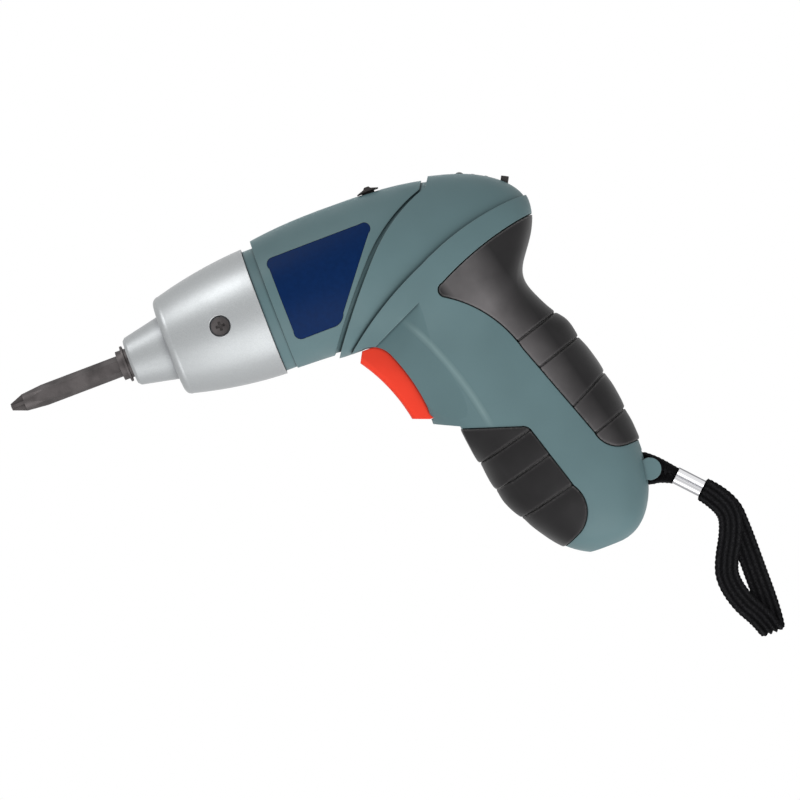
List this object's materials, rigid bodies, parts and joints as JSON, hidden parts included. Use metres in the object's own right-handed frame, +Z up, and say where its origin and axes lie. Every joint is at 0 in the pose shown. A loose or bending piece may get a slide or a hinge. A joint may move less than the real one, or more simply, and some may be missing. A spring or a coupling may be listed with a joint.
{
  "type": "electric screwdriver",
  "caption": "Pistol-grip electric screwdriver: hex bit in a planetary-geared spindle, sprung trigger, direction slider, battery test button, rubber grips and a braided wrist strap.",
  "frame": {"origin": "middle of the hand grip, on the plane between the housing halves, where a hand holds the tool", "axes": "+X along the drive axis from the bit to the back, +Z up from the handle to the barrel, -Y the side with the label"},
  "size_m": [0.2211, 0.0476, 0.1901],
  "materials": {
    "housing": "fine spark-eroded texture, grey teal",
    "label": "smooth navy film, bare",
    "rubber": "soft dark grey overmould",
    "nose": "satin silver casting",
    "case": "glass-filled nylon",
    "gear_steel": "sintered steel, oiled",
    "steel": "plain steel",
    "dark_steel": "blackened steel",
    "bronze": "sintered bronze",
    "magnet": "ferrite",
    "copper": "enamelled copper",
    "trigger": "red orange moulding",
    "black_plastic": "black moulding",
    "lens": "smoky clear lens",
    "board": "solder mask",
    "cell": "shrink sleeve over the can",
    "webbing": "flat black braid"
  },
  "bodies": {
    "tool": {"housing_left": "housing", "housing_right": "housing", "label": "label", "rear_grip_left": "rubber", "rear_grip_right": "rubber", "front_grip_left": "rubber", "front_grip_right": "rubber", "nose_cone": "nose", "gear_case": "case", "nose_screws": "dark_steel", "housing_screws": "dark_steel", "ring_gear": "gear_steel", "spindle_bush": "bronze", "thrust_washer": "steel", "motor_can": "steel", "motor_plate": "steel", "motor_screws": "steel", "motor_end_bell": "black_plastic", "motor_magnets": "magnet", "motor_brushes": "magnet", "motor_terminals": "bronze", "trigger_switch": "black_plastic", "direction_switch": "black_plastic", "indicator_lights": "lens", "indicator_board": "board", "battery_cells": "cell", "battery_tabs": "steel", "charge_socket": "black_plastic", "charge_pin": "steel", "strap_pin": "steel", "lug_loop": "webbing", "strap_ferrule": "steel", "wrist_loop": "webbing"},
    "armature": {"motor_shaft": "steel", "armature": "steel", "armature_winding": "copper", "commutator": "copper", "motor_pinion": "gear_steel"},
    "carrier": {"stage_one_carrier": "gear_steel"},
    "output_spindle": {"spindle": "dark_steel", "bit_magnet": "magnet", "retaining_ring": "dark_steel"},
    "driver_bit": {"bit": "dark_steel"},
    "trigger": {"trigger": "trigger"},
    "direction_slider": {"direction_slider": "black_plastic"},
    "test_button": {"test_button": "black_plastic"},
    "stage_one_planet_1": {"stage_one_planet_1": "gear_steel"},
    "stage_one_planet_2": {"stage_one_planet_2": "gear_steel"},
    "stage_one_planet_3": {"stage_one_planet_3": "gear_steel"},
    "stage_two_planet_1": {"stage_two_planet_1": "gear_steel"},
    "stage_two_planet_2": {"stage_two_planet_2": "gear_steel"},
    "stage_two_planet_3": {"stage_two_planet_3": "gear_steel"}
  },
  "joints": [
    {"name": "armature_spin", "type": "hinge", "parent": "tool", "child": "armature", "pos_m": [-0.05, 0, 0.06], "axis": [1, 0, 0], "continuous": true},
    {"name": "carrier_spin", "type": "hinge", "parent": "tool", "child": "carrier", "pos_m": [-0.0846, 0, 0.06], "axis": [1, 0, 0], "continuous": true},
    {"name": "spindle_spin", "type": "hinge", "parent": "tool", "child": "output_spindle", "pos_m": [-0.11, 0, 0.06], "axis": [1, 0, 0], "continuous": true},
    {"name": "stage_one_planet_1_spin", "type": "hinge", "parent": "carrier", "child": "stage_one_planet_1", "pos_m": [-0.0802, 0.00675, 0.06], "axis": [1, 0, 0], "continuous": true},
    {"name": "stage_one_planet_2_spin", "type": "hinge", "parent": "carrier", "child": "stage_one_planet_2", "pos_m": [-0.0802, -0.00337, 0.06585], "axis": [1, 0, 0], "continuous": true},
    {"name": "stage_one_planet_3_spin", "type": "hinge", "parent": "carrier", "child": "stage_one_planet_3", "pos_m": [-0.0802, -0.00337, 0.05415], "axis": [1, 0, 0], "continuous": true},
    {"name": "stage_two_planet_1_spin", "type": "hinge", "parent": "output_spindle", "child": "stage_two_planet_1", "pos_m": [-0.0895, 0.00675, 0.06], "axis": [1, 0, 0], "continuous": true},
    {"name": "stage_two_planet_2_spin", "type": "hinge", "parent": "output_spindle", "child": "stage_two_planet_2", "pos_m": [-0.0895, -0.00337, 0.06585], "axis": [1, 0, 0], "continuous": true},
    {"name": "stage_two_planet_3_spin", "type": "hinge", "parent": "output_spindle", "child": "stage_two_planet_3", "pos_m": [-0.0895, -0.00337, 0.05415], "axis": [1, 0, 0], "continuous": true},
    {"name": "bit_pull", "type": "slide", "parent": "output_spindle", "child": "driver_bit", "axis": [-1, 0, 0], "range_m": [0, 0.03]},
    {"name": "trigger_slide", "type": "slide", "parent": "tool", "child": "trigger", "axis": [1, 0, 0], "range_m": [0, 0.004], "stiffness_N_per_m": 700, "springref_m": -0.002},
    {"name": "direction_slide", "type": "slide", "parent": "tool", "child": "direction_slider", "axis": [1, 0, 0], "range_m": [-0.0018, 0.0018]},
    {"name": "test_button_press", "type": "slide", "parent": "tool", "child": "test_button", "axis": [-0.4772, 0, -0.8788], "range_m": [0, 0.001], "stiffness_N_per_m": 500, "springref_m": -0.001}
  ],
  "couplings": [
    {"joint": "carrier_spin", "follows": "armature_spin", "ratio": 0.16667},
    {"joint": "spindle_spin", "follows": "armature_spin", "ratio": 0.027778},
    {"joint": "stage_one_planet_1_spin", "follows": "armature_spin", "ratio": -0.41667},
    {"joint": "stage_one_planet_2_spin", "follows": "armature_spin", "ratio": -0.41667},
    {"joint": "stage_one_planet_3_spin", "follows": "armature_spin", "ratio": -0.41667},
    {"joint": "stage_two_planet_1_spin", "follows": "armature_spin", "ratio": -0.069444},
    {"joint": "stage_two_planet_2_spin", "follows": "armature_spin", "ratio": -0.069444},
    {"joint": "stage_two_planet_3_spin", "follows": "armature_spin", "ratio": -0.069444}
  ]
}
